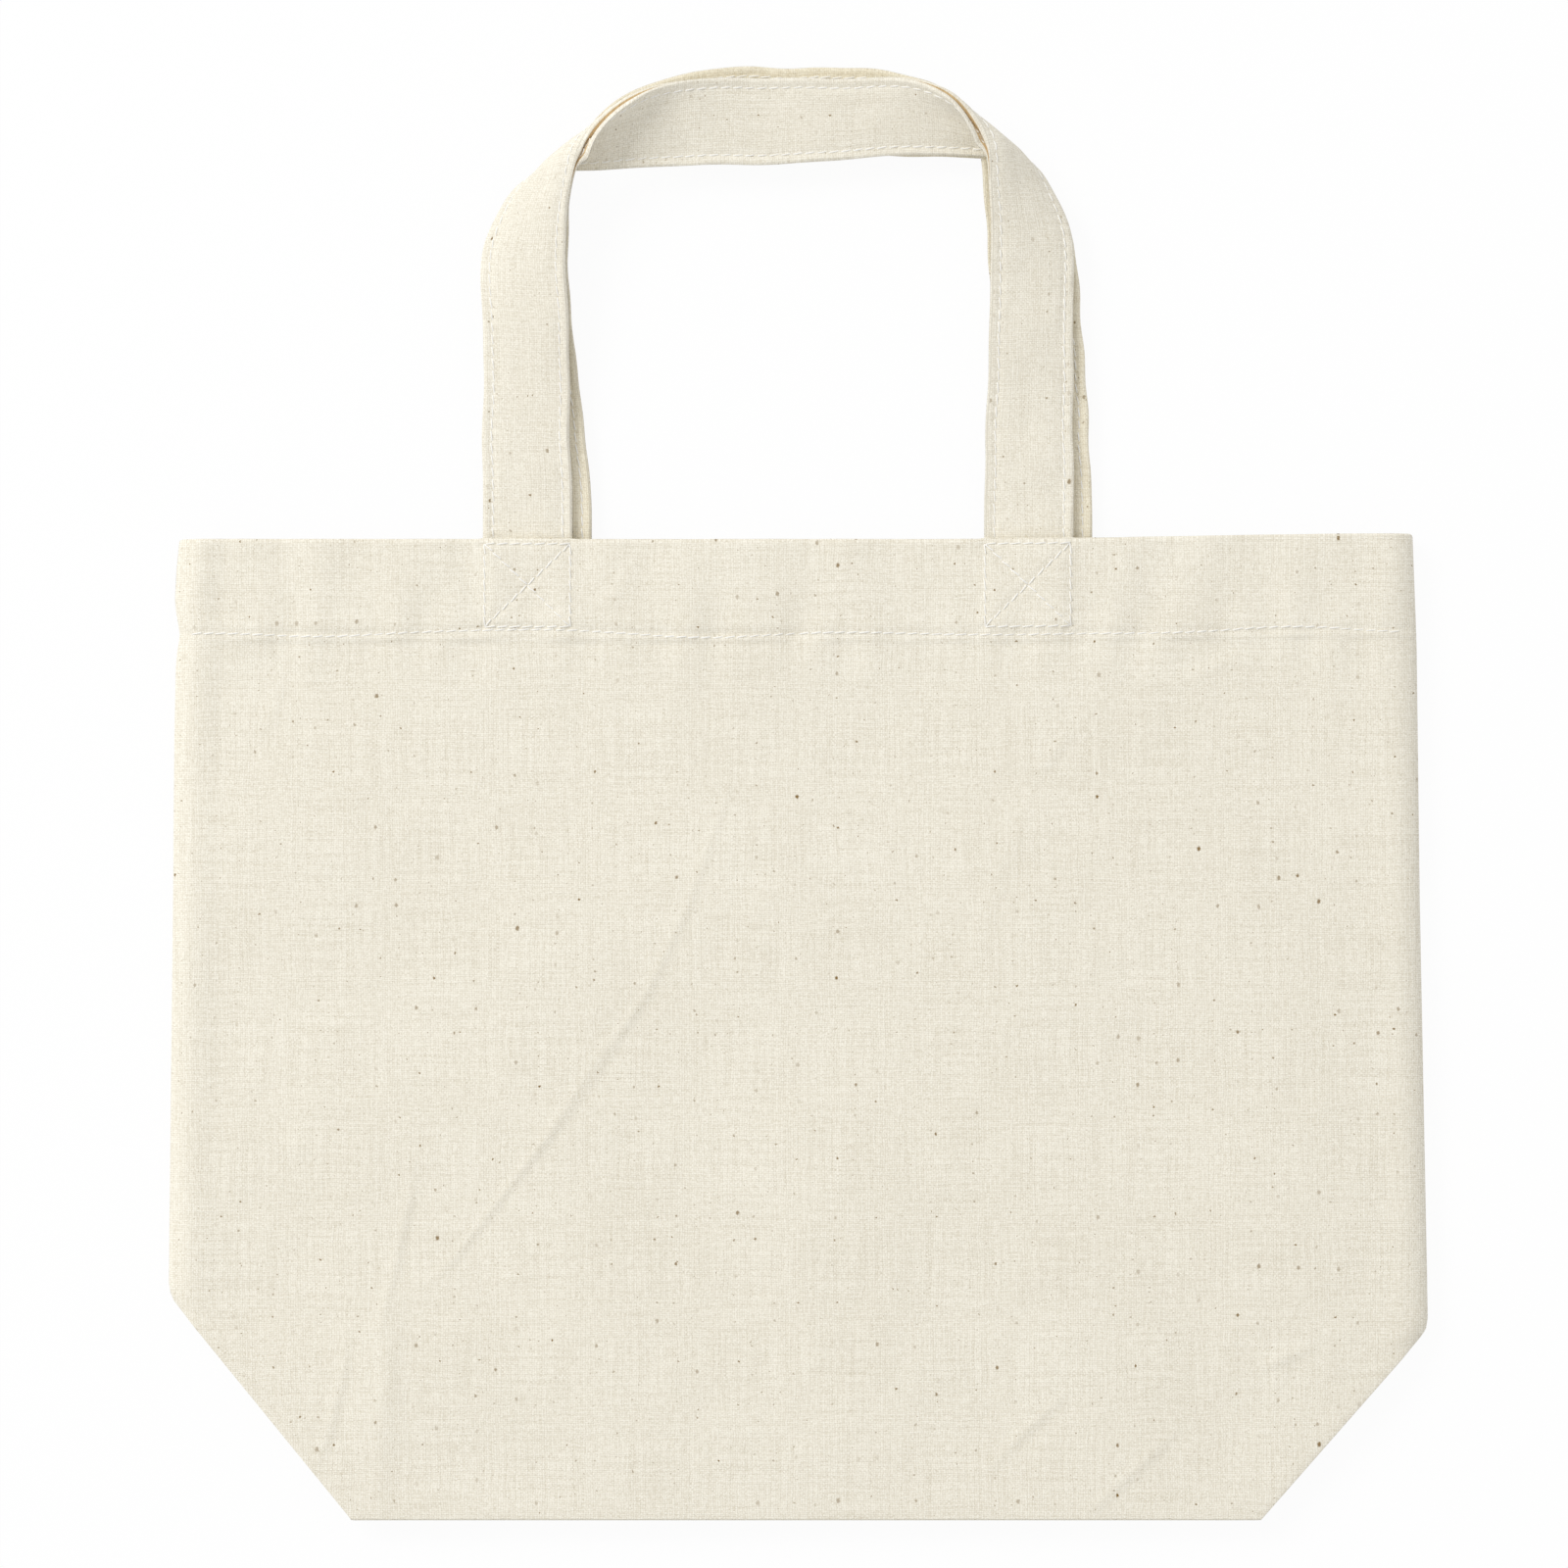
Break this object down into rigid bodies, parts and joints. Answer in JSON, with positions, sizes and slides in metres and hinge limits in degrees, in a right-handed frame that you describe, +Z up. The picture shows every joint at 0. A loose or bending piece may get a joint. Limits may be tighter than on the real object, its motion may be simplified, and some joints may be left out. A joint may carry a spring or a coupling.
{
  "type": "reusable shopping bag",
  "caption": "Plain natural cotton tote lying flat, with a boxed bottom that folds open, a hemmed mouth and two loop handles sewn inside the hem with crossed box stitching.",
  "frame": {"origin": "middle of the back panel's outer face, which the bag lies on", "axes": "+Y from the bottom edge towards the handles, +Z up through the bag's layers, +X to the right"},
  "size_m": [0.362, 0.421, 0.023],
  "materials": {
    "cotton": "matte plain weave",
    "strap": "matte plain weave",
    "thread": "matte thread"
  },
  "bodies": {
    "back_panel": {"back_panel": "cotton", "back_hem_stitch": "thread", "back_left_box_stitch": "thread", "back_right_box_stitch": "thread", "back_handle_left_end": "strap", "back_handle_right_end": "strap"},
    "front_panel": {"front_panel": "cotton", "front_hem_stitch": "thread", "front_left_box_stitch": "thread", "front_right_box_stitch": "thread", "front_handle_left_end": "strap", "front_handle_right_end": "strap"},
    "bottom_back": {"bottom_back_half": "cotton"},
    "bottom_front": {"bottom_front_half": "cotton"},
    "front_handle": {"front_handle": "strap", "front_handle_inner_stitch": "thread", "front_handle_outer_stitch": "thread"},
    "back_handle": {"back_handle": "strap", "back_handle_inner_stitch": "thread", "back_handle_outer_stitch": "thread"},
    "left_back_side": {"left_back_side": "cotton", "left_back_hem_stitch": "thread", "left_side_seam_allowance": "cotton"},
    "left_back_corner": {"left_back_corner": "cotton"},
    "left_front_side": {"left_front_side": "cotton", "left_front_hem_stitch": "thread"},
    "left_front_corner": {"left_front_corner": "cotton"},
    "right_back_side": {"right_back_side": "cotton", "right_back_hem_stitch": "thread", "right_side_seam_allowance": "cotton"},
    "right_back_corner": {"right_back_corner": "cotton"},
    "right_front_side": {"right_front_side": "cotton", "right_front_hem_stitch": "thread"},
    "right_front_corner": {"right_front_corner": "cotton"}
  },
  "joints": [
    {"name": "mouth_open", "type": "hinge", "parent": "back_panel", "child": "left_back_side", "pos_m": [-0.131, 0, 0.0005], "axis": [0, 1, 0], "range_deg": [0, 90]},
    {"name": "right_back_fold", "type": "hinge", "parent": "back_panel", "child": "right_back_side", "pos_m": [0.131, 0, 0.0005], "axis": [0, -1, 0], "range_deg": [0, 90]},
    {"name": "left_seam_fold", "type": "hinge", "parent": "left_back_side", "child": "left_front_side", "pos_m": [-0.181, 0, 0.0045], "axis": [0, -1, 0], "range_deg": [0, 180]},
    {"name": "left_front_fold", "type": "hinge", "parent": "left_front_side", "child": "front_panel", "pos_m": [-0.131, 0, 0.0085], "axis": [0, 1, 0], "range_deg": [0, 90]},
    {"name": "right_front_fold", "type": "hinge", "parent": "front_panel", "child": "right_front_side", "pos_m": [0.131, 0, 0.0085], "axis": [0, 1, 0], "range_deg": [0, 90]},
    {"name": "bottom_back_fold", "type": "hinge", "parent": "back_panel", "child": "bottom_back", "pos_m": [0, -0.1425, 0.0005], "axis": [1, 0, 0], "range_deg": [0, 90]},
    {"name": "bottom_front_fold", "type": "hinge", "parent": "front_panel", "child": "bottom_front", "pos_m": [0, -0.1425, 0.0085], "axis": [-1, 0, 0], "range_deg": [0, 90]},
    {"name": "right_back_corner_fold", "type": "hinge", "parent": "right_back_side", "child": "right_back_corner", "pos_m": [0.131, -0.1425, 0.0005], "axis": [0.7071, 0.7071, 0], "range_deg": [0, 180], "deforming": ["right_back_corner"]},
    {"name": "left_back_corner_fold", "type": "hinge", "parent": "left_back_side", "child": "left_back_corner", "pos_m": [-0.131, -0.1425, 0.0005], "axis": [0.7071, -0.7071, 0], "range_deg": [0, 180], "deforming": ["left_back_corner"]},
    {"name": "right_front_corner_fold", "type": "hinge", "parent": "right_front_side", "child": "right_front_corner", "pos_m": [0.131, -0.1425, 0.0085], "axis": [-0.7071, -0.7071, 0], "range_deg": [0, 180], "deforming": ["right_front_corner"]},
    {"name": "left_front_corner_fold", "type": "hinge", "parent": "left_front_side", "child": "left_front_corner", "pos_m": [-0.131, -0.1425, 0.0085], "axis": [-0.7071, 0.7071, 0], "range_deg": [0, 180], "deforming": ["left_front_corner"]},
    {"name": "front_handle_lift", "type": "hinge", "parent": "front_panel", "child": "front_handle", "pos_m": [-0.006, 0.1545, 0.0066], "axis": [1, 0, 0], "range_deg": [0, 160]},
    {"name": "back_handle_drop", "type": "hinge", "parent": "back_panel", "child": "back_handle", "pos_m": [0, 0.1545, 0.0024], "axis": [1, 0, 0], "range_deg": [-160, 0]}
  ],
  "couplings": [
    {"joint": "right_back_fold", "follows": "mouth_open", "ratio": 1},
    {"joint": "left_seam_fold", "follows": "mouth_open", "ratio": 2},
    {"joint": "left_front_fold", "follows": "mouth_open", "ratio": 1},
    {"joint": "right_front_fold", "follows": "mouth_open", "ratio": 1},
    {"joint": "bottom_back_fold", "follows": "mouth_open", "ratio": 1},
    {"joint": "bottom_front_fold", "follows": "mouth_open", "ratio": 1},
    {"joint": "right_back_corner_fold", "follows": "mouth_open", "ratio": 2},
    {"joint": "left_back_corner_fold", "follows": "mouth_open", "ratio": 2},
    {"joint": "right_front_corner_fold", "follows": "mouth_open", "ratio": 2},
    {"joint": "left_front_corner_fold", "follows": "mouth_open", "ratio": 2}
  ]
}
